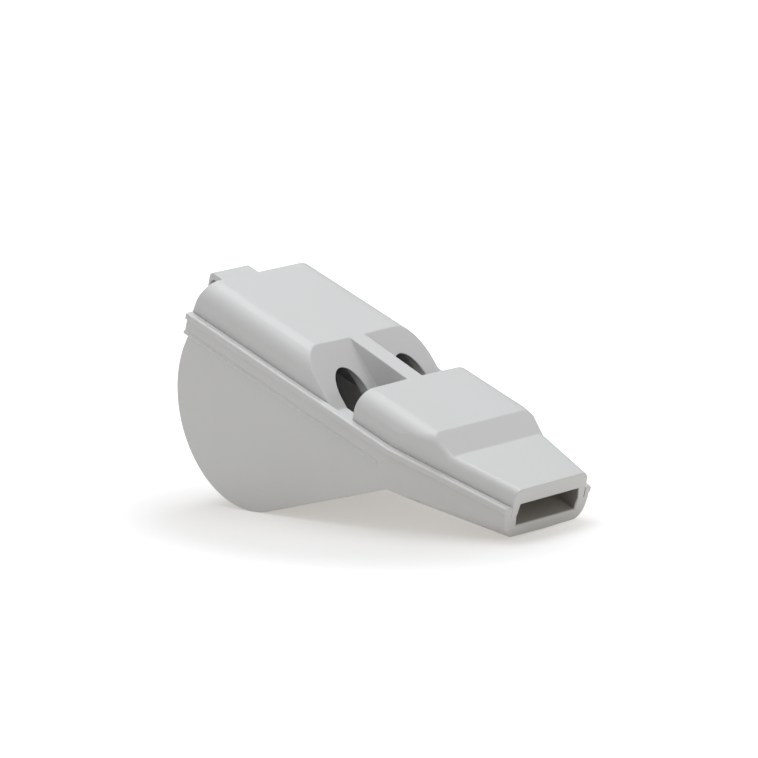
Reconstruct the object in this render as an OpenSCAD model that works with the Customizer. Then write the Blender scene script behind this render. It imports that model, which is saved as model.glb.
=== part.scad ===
// Pealess sports whistle with two windows. Millimetres.
// It is drawn with its rim level, then tipped nose down until the barrel and the mouth edge meet the ground.

/* [Plan] */
// Length of the rim, from the rear wall to the mouth
rim_length = 52.2; // [48:0.1:56]
// Width over the rim along the barrel
body_width = 19.7; // [18:0.1:22]
// Width over the rim at the mouth
mouth_width = 13.2; // [11.5:0.1:15]
// Distance from the rear at which the plan starts to narrow
taper_start = 35.6; // [34:0.1:37]
// Width of the rim lip beside the cover
lip_width = 0.95; // [0.8:0.05:1.2]

/* [Barrel] */
// Outer radius of the barrel
barrel_radius = 12.1; // [11.6:0.1:12.6]
// Distance of the barrel's centre from the rear
barrel_reach = 12.2; // [12.1:0.05:12.6]
// Depth of the barrel's centre below the rim
barrel_drop = 6.8; // [6.3:0.1:7.3]
// Wall of the barrel and of the mouthpiece floor
wall = 1.6; // [1.3:0.1:1.9]
// Wall of the cheeks, lip included
cheek_wall = 1.95; // [1.7:0.05:2.1]
// Height of the rim lip on the outside
lip_height = 0.8; // [0.6:0.1:1]
// How far the lip stands out from the cheek
lip_proud = 0.18; // [0.1:0.02:0.3]
// Chamfer of the lip's outer edge
lip_chamfer = 0.2; // [0.1:0.05:0.3]
// Depth of the bead below the rim
bead_drop = 2.45; // [2.2:0.05:2.8]
// Radius of the bead
bead_radius = 0.28; // [0.2:0.02:0.35]
// Distance from the rear at which the bead ends
bead_end = 34.4; // [32:0.1:35]

/* [Mouthpiece] */
// Distance from the rear at which the barrel's straight front meets the mouthpiece
throat_reach = 36.5; // [36:0.1:38]
// Depth of the underside at the throat
throat_drop = 4.9; // [4.6:0.1:5.2]
// Depth of the underside at the mouth
mouth_drop = 4.1; // [3.9:0.1:4.4]
// Rounding of the underside's long edges
keel_round = 2.2; // [1.8:0.1:2.4]
// Inward lean of the mouthpiece sides, in degrees
keel_lean = 11; // [6:1:13]
// How much further than the rim the leaning sides narrow towards the mouth, in degrees
keel_flare = 3.5; // [3:0.5:5]
// How far the rounded edges rise towards the mouth, in degrees
keel_tip = 4.6; // [4.6:0.1:5.2]
// Relief of the rounded edges from the flat faces at the mouth
keel_relief = 0.03; // [0.01:0.01:0.1]

/* [Cover] */
// Depth of the cover's skirt inside the lip
skirt_depth = 1.15; // [1:0.05:1.3]
// Height of the rear block above the rim
block_height = 3.95; // [3.7:0.05:4.2]
// Distance of the block's top back edge from the rear
block_back = 0.8; // [0.5:0.1:1.3]
// Distance of the block's top front edge from the rear
block_front = 18.4; // [17.5:0.1:19]
// Distance from the rear at which the ramp passes the rim level
ramp_foot = 24.6; // [24:0.1:25]
// Depth of the floor at the foot of the ramp below the rim
floor_drop = 0.6; // [0.3:0.1:0.7]
// Rounding of the block's long edges
block_round = 2.8; // [2.4:0.1:3.4]
// Distance of the back of the hump from the rear
hump_back = 28.7; // [28:0.1:29.5]
// Height of the hump above the rim
hump_height = 3.55; // [3.4:0.05:3.8]
// Distance of the hump's top front edge from the rear
hump_front = 40; // [39.5:0.1:41]
// Rounding of the hump's long edges at its back
hump_round = 2.5; // [2.2:0.1:3.2]
// Rounding of the hump's long edges at its front, where its base narrows
hump_front_round = 1.5; // [1.2:0.1:1.8]
// Distance of the foot of the hump's front slope from the rear
slope_foot = 43.1; // [42.5:0.1:43.5]
// Rounding of the edges beside the hump's front slope
slope_round = 1; // [0.8:0.1:1.3]
// Height of the mouthpiece roof above the rim
roof_height = 2.05; // [1.9:0.05:2.3]
// Rounding of the roof's long edges
roof_round = 1; // [0.8:0.1:1.3]
// Wall of the block's roof and of the ramp
cover_wall = 1.4; // [1.2:0.1:1.6]
// Width of the rib between the windows
rib_width = 2.3; // [2:0.1:2.8]

/* [Windows] */
// Distance between the centre lines of the two windows
window_spacing = 9.1; // [9:0.1:9.4]
// Radius of the arch of a window
window_radius = 2.05; // [1.8:0.05:2.2]

/* [Windway] */
// Height of the top of the air slots above the rim
slot_top = 2.1; // [1.9:0.1:2.3]
// Height of the air slots
slot_height = 0.9; // [0.7:0.1:1.1]
// Width of each air slot
slot_width = 4; // [3.4:0.1:4.1]
// Wall at the back of the hump
slot_wall = 1.2; // [1:0.1:1.5]
// Half width of the windway at the slots
windway_half = 7.4; // [7.3:0.05:7.5]
// Height of the ceiling at the mouth above the rim
mouth_ceiling = 0.15; // [0.1:0.05:0.3]
// Lean of the windway's sides for release from the mould, in degrees
draft = 8; // [4:1:10]
// Share of the windway's length that the level ceiling behind the mouth takes
mouth_run_share = 0.36; // [0.34:0.01:0.38]
// Share of the windway's length over which the ceiling rises into the hump
ceiling_rise_share = 0.18; // [0.17:0.01:0.2]
// Share of the windway's length that lies in front of the insert's nose
nose_share = 0.255; // [0.23:0.005:0.31]
// Thickness of the insert's nose
nose_thickness = 0.5; // [0.4:0.05:0.6]
// Share of the windway's length over which the insert rises to the slots
insert_rise_share = 0.42; // [0.38:0.01:0.45]
// Half width of the fin at the slots
fin_half = 2.2; // [1.8:0.1:2.3]
// Radius of the fin's front edge
fin_nose_radius = 0.5; // [0.3:0.05:0.6]
// Share of the windway's length that lies in front of the fin
fin_share = 0.385; // [0.36:0.005:0.44]
// Wall left round the hollow under the insert
core_wall = 1.2; // [1:0.1:1.4]

/* [Lug] */
// Distance of the lug's outer end from the centre plane
lug_end = 5.7; // [5.4:0.1:6]
// Width of the lug
lug_width = 5.6; // [5:0.1:6]
// How far the lug reaches behind the rim
lug_reach = 1.5; // [1.4:0.05:1.6]
// Height of the lug
lug_height = 2.9; // [2.7:0.1:3.2]
// Rounding of the lug's rear edges
lug_round = 0.7; // [0.5:0.1:0.9]
// Radius of the cord hole
cord_hole_radius = 0.75; // [0.6:0.05:0.75]
// Skin left between the cord hole and the back of the block
cord_hole_skin = 0.1; // [0.1:0.05:0.15]

/* [Divider] */
// Thickness of the partition between the chambers
divider_thickness = 1.4; // [1.2:0.1:1.8]
// Depth of the groove that holds the partition
groove_depth = 0.5; // [0.3:0.1:0.7]
// Height of the raised floor that makes one chamber's note the higher
tuning_step = 3; // [2:0.1:4]

/* [Fit] */
// Clearance between pieces that fit together
fit = 0.05; // [0.03:0.01:0.08]

/* [Hidden] */
$fn = 96;
shell_colour = [0.72, 0.72, 0.71];
cover_colour = [0.83, 0.84, 0.85];
insert_colour = [0.60, 0.62, 0.64];
divider_colour = [0.66, 0.64, 0.60];
// Overrun of every cut past the face that it opens
over = 1;
// Length that reaches past the whole whistle
far = rim_length + body_width;
taper_angle = atan2((body_width - mouth_width) / 2, rim_length - taper_start);
// Barrel and throat in the side view, with the rim at zero height
centre = [barrel_reach, -barrel_drop];
throat = [throat_reach, -throat_drop];
throat_span = throat - centre;
front_normal_angle = atan2(throat_span.y, throat_span.x) - acos(barrel_radius / norm(throat_span));
front_slope = front_normal_angle + 90;
keel_slope = atan2(throat_drop - mouth_drop, rim_length - throat_reach);
keel_depth = mouth_drop - skirt_depth + keel_relief;
mouth_edge = [rim_length, -mouth_drop];
mouth_span = mouth_edge - centre;
// Tip of the resting whistle: the line under the barrel and the mouth edge becomes level
ground_tip = atan2(mouth_span.y, mouth_span.x) + asin(barrel_radius / norm(mouth_span));
ramp_angle = atan2(block_height, ramp_foot - block_front);
hump_slope = atan2(hump_height - roof_height, slope_foot - hump_front);
slot_floor = slot_top - slot_height;
chamber_half = body_width / 2 - cheek_wall;
slot_front = hump_back + slot_wall;
windway_run = rim_length - slot_front;
nose_setback = nose_share * windway_run;
nose_reach = rim_length - nose_setback;
lug_floor = block_height - lug_height;
cord_hole_level = lug_floor + lug_height / 2;
rear_lean = block_back / block_height;
cord_hole_reach = rear_lean * cord_hole_level - cord_hole_radius - cord_hole_skin;
// Resting frame: the ground under the lowest line, the origin under the middle of the outline
rest_drop = rim_length * sin(ground_tip) + mouth_drop * cos(ground_tip);
front_corner = rim_length * cos(ground_tip) + roof_height * sin(ground_tip);
rear_corner = barrel_reach * cos(ground_tip) - barrel_drop * sin(ground_tip) - barrel_radius;
rest_shift = (front_corner + rear_corner) / 2;

// A side outline drawn in x and height, extruded across the whistle
module across(from, to) {
    rotate([90, 0, 0]) translate([0, 0, -to]) linear_extrude(to - from) children();
}

// Cross-section of a bar: half wide on both sides, with its upper corners rounded
module bar_section(half, top, bottom, round_r) {
    intersection() {
        translate([-half, -bottom]) square([2 * half, top + bottom]);
        union() {
            polygon([
                [-half, -far], [half, -far], [half, top - round_r], [half - round_r, top],
                [round_r - half, top], [-half, top - round_r]
            ]);
            for (side = [-1, 1]) translate([side * (half - round_r), top - round_r]) circle(round_r);
        }
    }
}

// Cross-section of one side, whose outer face passes through zero, with its upper corner rounded
module side_section(top, round_r, lean) {
    arc_z = top - round_r;
    arc_y = (-round_r - arc_z * sin(lean)) / cos(lean);
    touch = [arc_y + round_r * cos(lean), arc_z + round_r * sin(lean)];
    foot = touch + 2 * far * [sin(lean), -cos(lean)];
    polygon([foot, touch, [arc_y, top], [-far, top], [-far, foot.y]]);
    if (round_r > 0) translate([arc_y, arc_z]) circle(round_r);
}

// A bar between the two narrowing sides of the mouthpiece, set in by inset
// flare narrows it further and tip lowers its top, both about its end at the mouth
module mouth_bar(inset, top, round_r = 0, lean = 0, flare = 0, tip = 0) {
    intersection() {
        mouth_side(mouth_width / 2 - inset, flare, tip) side_section(top, round_r, lean);
        mirror([0, 1, 0]) mouth_side(mouth_width / 2 - inset, flare, tip) side_section(top, round_r, lean);
    }
}

module mouth_side(half, flare, tip) {
    translate([rim_length, half, 0]) rotate([0, 0, -taper_angle - flare]) rotate([0, tip, 0])
        rotate([90, 0, 90]) translate([0, 0, -far]) linear_extrude(2 * far) children();
}

// Bounds the hump's front slope, with the edges beside it rounded
module slope_bar() {
    half = mouth_width / 2 - lip_width - fit + (rim_length - slope_foot) * tan(taper_angle);
    turn = atan(tan(taper_angle) * cos(hump_slope));
    lean = asin(sin(taper_angle) * sin(hump_slope));
    intersection_for(side = [0, 1]) mirror([0, side, 0])
        translate([slope_foot, half, roof_height]) rotate([0, hump_slope, 0]) rotate([0, 0, -turn])
        rotate([90, 0, 90]) translate([0, 0, -far]) linear_extrude(2 * far)
        side_section(0, slope_round, lean);
}

// The lip's slab with its outer edges chamfered, before the seat of the cover is cut
module lip_slab() {
    intersection() {
        translate([0, -far, -lip_height]) cube([rim_length, 2 * far, lip_height]);
        intersection_for(side = [0, 1]) mirror([0, side, 0]) intersection() {
            translate([-over, body_width / 2, 0]) rotate([90, 0, 90])
                linear_extrude(rim_length + 2 * over) lip_section();
            mouth_side(mouth_width / 2, 0, 0) lip_section();
        }
    }
}

module lip_section() {
    polygon([[0, -far], [0, -lip_chamfer], [-lip_chamfer, 0], [-far, 0], [-far, -far]]);
}

// The plan with sharp edges, from one distance to another and from bottom to top
module plan_slab(inset, top, bottom, from, to) {
    half = body_width / 2 - inset;
    end = half - (to - taper_start) * tan(taper_angle);
    translate([0, 0, -bottom]) linear_extrude(top + bottom) polygon([
        [from, -half], [taper_start, -half], [to, -end], [to, end], [taper_start, half], [from, half]
    ]);
}

// Side outline of the barrel, grown or shrunk by skin, with its top at height top
module barrel_outline(skin, top) {
    radius = barrel_radius + skin;
    touch = centre + radius * [cos(front_normal_angle), sin(front_normal_angle)];
    front_z = -throat_drop - skin / cos(front_slope);
    band_x = lip_proud - skin;
    translate(centre) circle(radius);
    polygon([
        [band_x, top], [throat_reach, top], [throat_reach, front_z], touch, centre,
        [barrel_reach, -bead_drop], [band_x, -bead_drop]
    ]);
}

// Side outline of the mouthpiece below the rim, grown or shrunk by skin
module mouthpiece_outline(skin, top, from, to) {
    function level(x) = -throat_drop - skin / cos(keel_slope) + (x - throat_reach) * tan(keel_slope);
    polygon([[from, top], [to, top], [to, level(to)], [from, level(from)]]);
}

// The hollow of the lower shell up to height top, set in by gap from its walls
module shell_hollow(gap, top) {
    intersection() {
        across(-chamber_half + gap, chamber_half - gap) barrel_outline(-wall - gap, top);
        plan_slab(cheek_wall + gap, top, far, 0, throat_reach);
    }
    intersection() {
        across(-far, far) mouthpiece_outline(-wall - gap, top, taper_start, rim_length + over);
        translate([0, 0, -skirt_depth]) mirror([0, 0, 1]) mouth_bar(cheek_wall + gap, far, 0, draft);
    }
}

// The windway inside the cover down to height bottom, set in by gap from its walls
module cover_windway(gap, bottom) {
    ceiling_foot = rim_length - mouth_run_share * windway_run;
    ceiling_top = ceiling_foot - ceiling_rise_share * windway_run;
    intersection() {
        across(-windway_half + gap, windway_half - gap) polygon([
            [slot_front + gap, bottom], [slot_front + gap, slot_top - gap],
            [ceiling_top, slot_top - gap], [ceiling_foot, mouth_ceiling - gap],
            [rim_length + over, mouth_ceiling - gap], [rim_length + over, bottom]
        ]);
        translate([0, 0, -skirt_depth]) mouth_bar(cheek_wall + gap, far, 0, draft);
    }
}

module bead_run() {
    bead_y = body_width / 2 - bead_radius;
    for (side = [-1, 1]) translate([bead_radius, side * bead_y, -bead_drop]) {
        rotate([0, 90, 0]) cylinder(bead_end - bead_radius, r = bead_radius);
        sphere(bead_radius);
        translate([bead_end - bead_radius, 0, 0]) sphere(bead_radius);
    }
    translate([bead_radius, bead_y, -bead_drop]) rotate([90, 0, 0]) cylinder(2 * bead_y, r = bead_radius);
}

module shell_body() {
    intersection() {
        across(-far, far) barrel_outline(0, -lip_height / 2);
        plan_slab(lip_proud, -lip_height / 2, far, 0, throat_reach);
    }
    intersection() {
        across(-far, far) mouthpiece_outline(0, -lip_height / 2, taper_start, rim_length);
        plan_slab(lip_proud, -lip_height / 2, far, taper_start, rim_length);
        translate([0, 0, -skirt_depth]) mirror([0, 0, 1]) mouth_bar(
            lip_proud - keel_relief, keel_depth, keel_round, keel_lean, keel_flare, keel_tip);
    }
    lip_slab();
    bead_run();
}

module lower_shell() {
    color(shell_colour) difference() {
        shell_body();
        shell_hollow(0, over);
        // Seat of the cover inside the lip
        plan_slab(lip_width, over, skirt_depth, -over, rim_length + over);
        // Groove of the partition
        intersection() {
            across(-divider_thickness / 2 - fit, divider_thickness / 2 + fit)
                barrel_outline(groove_depth - wall, over);
            translate([0, -far, -far]) cube([hump_back, 2 * far, 2 * far]);
        }
    }
}

module block() {
    floor_x = ramp_foot + floor_drop / tan(ramp_angle);
    intersection() {
        rotate([90, 0, 90]) linear_extrude(hump_back)
            bar_section(body_width / 2 - lip_width - fit, block_height, skirt_depth, block_round);
        across(-far, far) polygon([
            [0, -skirt_depth - over], [0, 0], [block_back, block_height],
            [block_back, block_height + over], [block_front, block_height + over],
            [block_front, block_height], [floor_x, -floor_drop], [hump_back, -floor_drop],
            [hump_back, -skirt_depth - over]
        ]);
    }
}

module hump() {
    slope_end = slope_foot + roof_height / tan(hump_slope);
    intersection() {
        translate([hump_back, 0, 0]) rotate([90, 0, 90]) linear_extrude(slope_end - hump_back)
            bar_section(body_width / 2 - lip_width - fit, hump_height, skirt_depth, hump_round);
        mouth_bar(lip_width + fit, hump_height, hump_front_round);
        slope_bar();
        across(-far, far) polygon([
            [hump_back - over, -skirt_depth - over], [hump_back - over, hump_height + over],
            [slope_end, hump_height + over], [slope_end, -skirt_depth - over]
        ]);
    }
}

module mouth_roof() {
    intersection() {
        mouth_bar(lip_width + fit, roof_height, roof_round);
        translate([hump_front, -far, -skirt_depth])
            cube([rim_length - hump_front, 2 * far, skirt_depth + roof_height]);
    }
}

module rib() {
    across(-rib_width / 2, rib_width / 2) polygon([
        [block_front, -skirt_depth], [block_front, block_height], [hump_back, hump_height],
        [hump_back + slot_wall, hump_height], [hump_back + slot_wall, -skirt_depth]
    ]);
}

module cover_plate() {
    plan_slab(lip_width + fit, 0, skirt_depth, hump_back, rim_length);
}

// The lug behind the block, with its cord hole
module lug() {
    lug_back = -lug_reach + lug_round;
    translate([0, -lug_end, 0]) difference() {
        across(0, lug_width) {
            polygon([
                [lug_back, lug_floor], [block_back + cover_wall, lug_floor],
                [block_back + cover_wall, block_height], [lug_back, block_height]
            ]);
            polygon([
                [-lug_reach, lug_floor + lug_round], [lug_back, lug_floor + lug_round],
                [lug_back, block_height - lug_round], [-lug_reach, block_height - lug_round]
            ]);
            for (z = [lug_floor + lug_round, block_height - lug_round])
                translate([lug_back, z]) circle(lug_round);
        }
        cord_hole();
    }
}

module cord_hole() {
    translate([cord_hole_reach, -over, cord_hole_level]) rotate([-90, 0, 0])
        cylinder(lug_width + 2 * over, r = cord_hole_radius);
}

// Hollow of one chamber under the block, with its window
module cover_chamber(side) {
    ceiling = block_height - cover_wall;
    ramp_x = ramp_foot - cover_wall / sin(ramp_angle);
    half = body_width / 2 - lip_width - cover_wall;
    depth = skirt_depth + over;
    intersection() {
        rotate([90, 0, 90]) linear_extrude(ramp_foot)
            bar_section(half, ceiling, depth, block_round - cover_wall);
        mirror([0, side < 0 ? 1 : 0, 0]) across(rib_width / 2, body_width) polygon([
            [wall + lip_proud, -depth - over], [wall + lip_proud, 0],
            [wall + lip_proud + rear_lean * ceiling, ceiling],
            [wall + lip_proud + rear_lean * ceiling, ceiling + over],
            [ramp_x - ceiling / tan(ramp_angle), ceiling + over],
            [ramp_x - ceiling / tan(ramp_angle), ceiling],
            [ramp_x + depth / tan(ramp_angle), -depth], [ramp_x + depth / tan(ramp_angle), -depth - over]
        ]);
    }
    translate([block_front, side * window_spacing / 2, 0]) {
        rotate([0, 90, 0]) cylinder(hump_back - block_front, r = window_radius);
        translate([0, -window_radius, -depth]) cube([hump_back - block_front, 2 * window_radius, depth]);
    }
    translate([hump_back - over, side * window_spacing / 2 - slot_width / 2, slot_floor])
        cube([slot_wall + 2 * over, slot_width, slot_height]);
}

module top_cover() {
    color(cover_colour) difference() {
        union() {
            cover_plate();
            block();
            rib();
            hump();
            mouth_roof();
            lug();
        }
        cover_windway(0, -skirt_depth - over);
        for (side = [-1, 1]) cover_chamber(side);
    }
}

// Fin that parts the air, from its edge behind the mouth to the solid middle between the slots
module windway_fin() {
    fin_nose = rim_length - fin_share * windway_run - fin_nose_radius;
    fin_tail = slot_front + fit;
    intersection() {
        cover_windway(fit, -skirt_depth - fit);
        translate([0, 0, -skirt_depth - over]) linear_extrude(far) {
            polygon([
                [fin_tail, -fin_half], [fin_nose, -fin_nose_radius], [fin_nose, fin_nose_radius],
                [fin_tail, fin_half]
            ]);
            translate([fin_nose, 0]) circle(fin_nose_radius);
        }
    }
}

module windway_insert() {
    nose_floor = -mouth_drop - nose_setback * tan(keel_slope) + wall / cos(keel_slope);
    rise_top = nose_reach - insert_rise_share * windway_run;
    seat = -skirt_depth - fit;
    color(insert_colour) difference() {
        union() {
            intersection() {
                union() {
                    shell_hollow(fit, -skirt_depth - fit);
                    cover_windway(fit, -skirt_depth - fit);
                }
                across(-far, far) polygon([
                    [nose_reach, nose_floor + nose_thickness], [rise_top, slot_floor],
                    [slot_front + fit, slot_floor], [slot_front + fit, seat], [hump_back, seat],
                    [hump_back, -far], [nose_reach, -far]
                ]);
            }
            windway_fin();
        }
        // Hollows under the insert, one on each side of its middle wall
        for (side = [0, 1]) mirror([0, side, 0]) translate([slot_front + core_wall, core_wall, -far])
            cube([
                rise_top - slot_front - core_wall, windway_half - 2 * core_wall,
                far + slot_floor - core_wall
            ]);
    }
}

module chamber_divider() {
    half = divider_thickness / 2;
    color(divider_colour) {
        intersection() {
            across(-half, half) barrel_outline(groove_depth - wall - fit, 0);
            translate([0, -far, -far]) cube([hump_back - fit, 2 * far, far - skirt_depth]);
        }
        intersection() {
            across(half - fit, chamber_half - fit) barrel_outline(-wall - fit, 0);
            translate([0, -far, -far])
                cube([hump_back - fit, 2 * far, far - barrel_drop - barrel_radius + wall + tuning_step]);
        }
    }
}

// Puts the whistle down: nose down on its barrel and its mouth edge
module at_rest() {
    translate([-rest_shift, 0, rest_drop]) rotate([0, ground_tip, 0]) children();
}

at_rest() lower_shell();
at_rest() top_cover();
at_rest() windway_insert();
at_rest() chamber_divider();
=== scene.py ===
import math

import bmesh
import bpy
from mathutils import Matrix, Vector


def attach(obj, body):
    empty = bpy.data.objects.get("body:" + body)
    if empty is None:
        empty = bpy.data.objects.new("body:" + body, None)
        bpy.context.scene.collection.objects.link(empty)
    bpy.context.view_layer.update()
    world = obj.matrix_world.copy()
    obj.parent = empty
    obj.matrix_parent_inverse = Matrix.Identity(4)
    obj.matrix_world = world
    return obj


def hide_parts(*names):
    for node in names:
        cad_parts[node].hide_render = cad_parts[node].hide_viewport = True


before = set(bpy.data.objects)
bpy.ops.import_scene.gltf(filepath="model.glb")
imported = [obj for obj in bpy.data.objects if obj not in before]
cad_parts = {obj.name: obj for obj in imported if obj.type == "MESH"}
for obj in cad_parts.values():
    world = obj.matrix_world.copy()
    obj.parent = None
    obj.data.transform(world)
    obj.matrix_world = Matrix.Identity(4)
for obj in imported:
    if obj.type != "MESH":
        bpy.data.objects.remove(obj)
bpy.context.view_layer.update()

# The camera looks from the mouth's side and a little from above, through a long lens.
# It leans a few degrees, as the photographed whistle's ground line does.
eye = bpy.data.objects.new("eye", bpy.data.cameras.new("eye"))
eye.data.sensor_width = 36
eye.data.lens = 199.48
eye.data.clip_start = 0.02
eye.data.clip_end = 20
eye_place = Vector((0.353874, -0.311282, 0.101164))
eye_right = Vector((0.668077, 0.739618, -0.081482))
eye_up = Vector((-0.079976, 0.180246, 0.980365))
eye_back = Vector((0.739782, -0.648442, 0.179570))
eye_turn = Matrix((eye_right, eye_up, eye_back)).transposed()
eye.matrix_world = Matrix.Translation(eye_place) @ eye_turn.to_4x4()
bpy.context.scene.collection.objects.link(eye)
bpy.context.scene.camera = eye
bpy.context.scene.view_settings.view_transform = "Standard"

# Soft studio light: two wide cool panels overhead that lean in from behind, and a weak warm one
# before the mouth.
cool_light = (0.955, 0.98, 1.0)
warm_light = (1.0, 0.975, 0.935)


def light_panel(name, place, aim, width, power, tint):
    panel = bpy.data.objects.new(name, bpy.data.lights.new(name, "AREA"))
    panel.data.shape = "SQUARE"
    panel.data.size = width
    panel.data.energy = power
    panel.data.color = tint
    panel.location = place
    panel.rotation_euler = (Vector(aim) - Vector(place)).to_track_quat("-Z", "Y").to_euler()
    bpy.context.scene.collection.objects.link(panel)


light_panel("rear_panel", (-0.20, 0.18, 0.72), (0, 0, 0), 0.50, 2.75, cool_light)
light_panel("side_panel", (-0.24, -0.15, 0.72), (0, 0, 0), 0.50, 1.65, cool_light)
light_panel("mouth_panel", (0.45, 0.02, 0.07), (0, 0, 0.01), 0.12, 0.22, warm_light)


class Reading:
    """A value in a material, on which sums and products can be written."""

    def __init__(self, finish, socket):
        self.finish = finish
        self.socket = socket

    def worked(self, operation, first, second):
        places = {0: first, 1: second}
        return self.finish.node("ShaderNodeMath", {"operation": operation}, places).out()

    def __add__(self, other):
        return self.worked("ADD", self, other)

    __radd__ = __add__

    def __sub__(self, other):
        return self.worked("SUBTRACT", self, other)

    def __rsub__(self, other):
        return self.worked("SUBTRACT", other, self)

    def __mul__(self, other):
        return self.worked("MULTIPLY", self, other)

    __rmul__ = __mul__

    def over(self, threshold, softness):
        """0 below the threshold and 1 above it, with a soft step between."""
        settings = {"interpolation_type": "SMOOTHSTEP"}
        ends = {"From Min": threshold - softness, "From Max": threshold + softness}
        return self.finish.node("ShaderNodeMapRange", settings, {"Value": self, **ends}).out("Result")


class Step:
    """One node of a material."""

    def __init__(self, finish, node):
        self.finish = finish
        self.node = node

    def out(self, name=0):
        return Reading(self.finish, self.node.outputs[name])


class Finish:
    """The look of a material or of the room, built up from its own nodes."""

    def __init__(self, owner, surface, output):
        owner.use_nodes = True
        self.owner = owner
        self.tree = owner.node_tree
        self.surface = self.tree.nodes[surface]
        self.output = self.tree.nodes[output]

    def feed(self, socket, value):
        if isinstance(value, Reading):
            self.tree.links.new(value.socket, socket)
        else:
            socket.default_value = value

    def node(self, kind, settings, places):
        made = self.tree.nodes.new(kind)
        for name, value in settings.items():
            setattr(made, name, value)
        for place, value in places.items():
            self.feed(made.inputs[place], value)
        return Step(self, made)

    def tinted(self, share, first, second):
        """A colour between two, by a share that varies over the surface."""
        places = {0: share, 6: first, 7: second}
        return self.node("ShaderNodeMix", {"data_type": "RGBA"}, places).out(2)

    def show(self, places):
        for place, value in places.items():
            self.feed(self.surface.inputs[place], value)

    def shader(self):
        return Reading(self, self.surface.outputs[0])

    def end_in(self, shader):
        self.feed(self.output.inputs["Surface"], shader)


def material_finish(name):
    return Finish(bpy.data.materials.new(name), "Principled BSDF", "Material Output")


# The floor is plain warm white paper. The camera sees it as white, with the lit soft shadow kept on it
# near the whistle. Its glow is also lower there, which paints a grey shadow haze around the whistle,
# mostly on the camera's side, fading to an even white further off.
def paper_floor():
    form = bmesh.new()
    bmesh.ops.create_grid(form, x_segments=1, y_segments=1, size=3.0)
    mesh = bpy.data.meshes.new("paper_floor")
    form.to_mesh(mesh)
    form.free()
    floor = bpy.data.objects.new("paper_floor", mesh)
    bpy.context.scene.collection.objects.link(floor)

    paper = material_finish("paper")
    rays = paper.node("ShaderNodeLightPath", {}, {})
    seen = rays.out("Is Camera Ray") + rays.out("Is Glossy Ray") + rays.out("Is Transmission Ray")
    warm_paper = (0.80, 0.785, 0.755, 1)
    paper_under_glow = (0.376, 0.386, 0.405, 1)
    paper.show({
        "Base Color": paper.tinted(seen, warm_paper, paper_under_glow),
        "Roughness": 0.9,
        "Specular IOR Level": 0.0,
    })

    # Near the whistle the glow is lower: a painted grey shadow haze, mostly on the camera's side.
    place = paper.node("ShaderNodeTexCoord", {}, {}).out("Object")
    painted_shadow_centre = {"Vector": place, "Location": (0, 0.0144, 0), "Scale": (1, 1.8, 1)}
    around = paper.node("ShaderNodeMapping", {}, painted_shadow_centre).out()
    distance = paper.node("ShaderNodeVectorMath", {"operation": "LENGTH"}, {0: around}).out("Value")
    painted_shadow_reach, painted_shadow_fade = 0.040, 0.019
    glow_in_painted_shadow = (0.49, 0.47, 0.44, 1)
    past_painted_shadow = distance.over(painted_shadow_reach, painted_shadow_fade)
    glow_colour = paper.tinted(past_painted_shadow, glow_in_painted_shadow, (1, 1, 1, 1))
    glow = paper.node("ShaderNodeEmission", {}, {"Color": glow_colour, "Strength": 1.0}).out()
    no_glow = paper.node("ShaderNodeEmission", {}, {"Color": (0, 0, 0, 1), "Strength": 0.0}).out()
    veil = paper.node("ShaderNodeMixShader", {}, {0: seen, 1: no_glow, 2: glow}).out()
    paper.end_in(paper.node("ShaderNodeAddShader", {}, {0: paper.shader(), 1: veil}).out())
    mesh.materials.append(paper.owner)


paper_floor()

# The room around it is an even pale grey, which the camera sees as white.
room = Finish(bpy.data.worlds.new("room"), "Background", "World Output")
bpy.context.scene.world = room.owner
room.show({"Color": (0.985, 0.99, 1.0, 1), "Strength": 0.405})
room_seen = room.node("ShaderNodeLightPath", {}, {}).out("Is Camera Ray")
room_white = room.node("ShaderNodeBackground", {}, {"Color": (1, 1, 1, 1)}).out()
room.end_in(room.node("ShaderNodeMixShader", {}, {0: room_seen, 1: room.shader(), 2: room_white}).out())


# The lower shell: one moulding in pale grey plastic, with the barrel, the rim lip and the underside
# of the mouthpiece. Its edges come out of the mould with a small radius, and the bead stays crisp.
# The darker brown-grey tint inside the mouth is painted shade, matched to the photograph. The tint
# inside the mouth is set by eye to the photograph, which doesn't show what causes it.
rim_tilt = math.radians(21.42815)
rim_rear = Vector((-0.0230566, 0, 0.0228870))
to_rim = Matrix.Rotation(-rim_tilt, 4, "Y") @ Matrix.Translation(-rim_rear)


def painted_mouth_shade_mask(finish, place):
    """1 on the walls just behind the mouth, where the shade is painted, from places on the rim's own
    axes.
    """
    turned = {"Vector": place, "Rotation": (0, -rim_tilt, 0), "Location": to_rim.translation}
    on_rim = finish.node("ShaderNodeMapping", {}, turned).out()
    split = finish.node("ShaderNodeSeparateXYZ", {}, {"Vector": on_rim})
    along, across, above = split.out("X"), split.out("Y"), split.out("Z")
    past_hump = along.over(0.0420, 0.0030)
    behind_face = 1 - along.over(0.0520, 0.00015)
    between_sides = 1 - (across * across).over(0.0000270, 0.000002)
    over_floor = above.over(-0.0034, 0.0002)
    under_roof = 1 - above.over(0.0009, 0.0002)
    return past_hump * behind_face * between_sides * over_floor * under_roof


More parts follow.
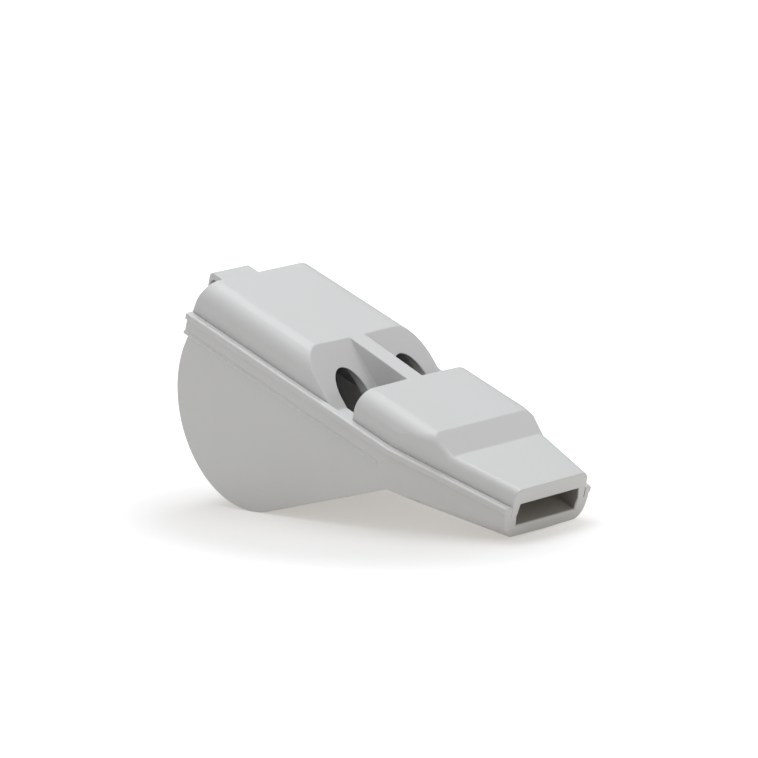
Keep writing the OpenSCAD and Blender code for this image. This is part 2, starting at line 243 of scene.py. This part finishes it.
def satin_plastic(name, colour, shade, seed):
    """Moulded plastic with a faint flow pattern, a fine grain, a few long scuffs and painted shade
    inside the mouth.
    """
    finish = material_finish(name)
    place = finish.node("ShaderNodeTexCoord", {}, {}).out("Object")
    shift = {"Vector": place, "Location": (seed, seed, seed)}
    moved = finish.node("ShaderNodeMapping", {}, shift).out()

    def noise(vector, scale, detail, distortion=0.0):
        places = {"Vector": vector, "Scale": scale, "Detail": detail, "Distortion": distortion}
        return finish.node("ShaderNodeTexNoise", {}, places).out("Fac")

    flow = noise(moved, 85, 3, 0.6)
    grain = noise(moved, 5200, 2)
    specks = noise(moved, 1500, 1)
    drawn_out = {"Vector": moved, "Rotation": (0.3, 0.37, 0.5), "Scale": (1, 9, 9)}
    scuffs = noise(finish.node("ShaderNodeMapping", {}, drawn_out).out(), 260, 2).over(0.66, 0.05)

    mottling = flow.over(0.5, 0.3) * 0.65 + specks.over(0.72, 0.03) * 0.35
    clean = finish.tinted(mottling, colour, shade)
    # Inside the mouth the colour turns darker brown-grey, a little uneven with the flow pattern:
    # painted shade.
    painted_shade_brown = (0.40, 0.365, 0.33, 1)
    painted_mouth_shade = painted_mouth_shade_mask(finish, place) * (0.75 + flow * 0.25)
    height = grain - scuffs * 0.4
    bump = finish.node("ShaderNodeBump", {}, {"Strength": 0.12, "Distance": 0.00002, "Height": height})
    finish.show({
        "Base Color": finish.tinted(painted_mouth_shade, clean, painted_shade_brown),
        "Roughness": 0.38 + flow * 0.05 + grain * 0.06 + scuffs * 0.06,
        "Specular IOR Level": 0.48,
        "Normal": bump.out(),
    })
    return finish.owner


def moulded_copy(node, name, widest_radius, radius_share, material):
    """A copy of a CAD solid with its sharp edges rounded. radius_share gives each edge its part."""
    form = bmesh.new()
    form.from_mesh(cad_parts[node].data)
    bmesh.ops.remove_doubles(form, verts=form.verts, dist=2e-6)
    flat = math.radians(0.3)
    bmesh.ops.dissolve_limit(form, angle_limit=flat, verts=form.verts, edges=form.edges)
    weight = form.edges.layers.float.new("bevel_weight_edge")
    for face in form.faces:
        face.smooth = True
    for edge in form.edges:
        if edge.is_manifold and edge.calc_face_angle() > math.radians(24):
            share = radius_share(edge, [to_rim @ corner.co for corner in edge.verts])
            edge[weight] = share
            edge.smooth = share > 0
    mesh = bpy.data.meshes.new(name)
    form.to_mesh(mesh)
    form.free()
    mesh.materials.append(material)
    piece = bpy.data.objects.new(name, mesh)
    bpy.context.scene.collection.objects.link(piece)

    rounding = piece.modifiers.new("edge_rounding", "BEVEL")
    rounding.limit_method = "WEIGHT"
    rounding.offset_type = "OFFSET"
    rounding.width = widest_radius
    rounding.segments = 3
    rounding.use_clamp_overlap = False
    even = piece.modifiers.new("even_shading", "WEIGHTED_NORMAL")
    even.mode = "FACE_AREA"
    even.keep_sharp = True
    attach(piece, "root")
    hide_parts(node)
    return piece


# Places on the rim's own axes: x from the rear wall and z up from the rim.
bead_front_x, bead_low_z, bead_high_z = 0.0350, -0.0029, -0.0020
keel_rear_x, keel_front_x, keel_high_z = 0.0400, 0.0520, -0.0030
mouth_face_x = 0.05215
ledge_z = -0.00115
lip_low_z = -0.0013
lip_half_width, lip_taper_x, lip_taper_slope = 0.0089, 0.0356, 0.19578


def beside_lip(end):
    """Whether a point lies on the lip's inner face."""
    half = lip_half_width - max(0.0, end.x - lip_taper_x) * lip_taper_slope
    return end.z > lip_low_z and abs(abs(end.y) - half) < 0.0001


def shell_radius_share(edge, ends):
    rearmost = min(end.x for end in ends)
    foremost = max(end.x for end in ends)
    lowest = min(end.z for end in ends)
    highest = max(end.z for end in ends)
    on_bead = bead_low_z < lowest and highest < bead_high_z and foremost < bead_front_x
    at_keel = highest < keel_high_z and keel_rear_x < rearmost < keel_front_x
    if on_bead or at_keel or not edge.is_convex:
        return 0.0
    in_mouth_face = rearmost > mouth_face_x
    on_ledge = in_mouth_face and all(abs(end.z - ledge_z) < 0.00006 for end in ends)
    if on_ledge or all(beside_lip(end) for end in ends):
        return 0.15
    return 1.0 if in_mouth_face else 0.48


shell_plastic = satin_plastic(
    "shell_plastic", (0.665, 0.66, 0.65, 1), (0.645, 0.638, 0.625, 1), 0.0)
shell = moulded_copy("lower_shell", "shell_moulding", 0.00025, shell_radius_share, shell_plastic)


# The top cover: the second moulding, let into the rim and welded there. It carries the block with its
# two windows, the rib, the hump and the lug. Its hidden skirt and its cord hole are left sharp.
skirt_high_z = -0.0009
cord_hole_x, cord_hole_z, cord_hole_radius = -0.000344, 0.0025, 0.00075


def in_cord_hole(end):
    reach = math.hypot(end.x - cord_hole_x, end.z - cord_hole_z)
    return abs(reach - cord_hole_radius) < 0.0001


def cover_radius_share(edge, ends):
    in_skirt = all(end.z < skirt_high_z for end in ends)
    return 0.0 if in_skirt or all(in_cord_hole(end) for end in ends) else 1.0


cover_plastic = satin_plastic(
    "cover_plastic", (0.665, 0.663, 0.658, 1), (0.648, 0.645, 0.637, 1), 3.0)
cover = moulded_copy("top_cover", "cover_moulding", 0.00015, cover_radius_share, cover_plastic)

# The windway insert and the chamber divider: two plain mouldings in the same plastic, shut in
# between the shell and the cover. The photograph doesn't show them, so both are inferred.
insert_plastic = satin_plastic(
    "insert_plastic", (0.66, 0.652, 0.64, 1), (0.64, 0.63, 0.615, 1), 7.0)
for node in ("windway_insert", "chamber_divider"):
    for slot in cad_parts[node].material_slots:
        slot.material = insert_plastic
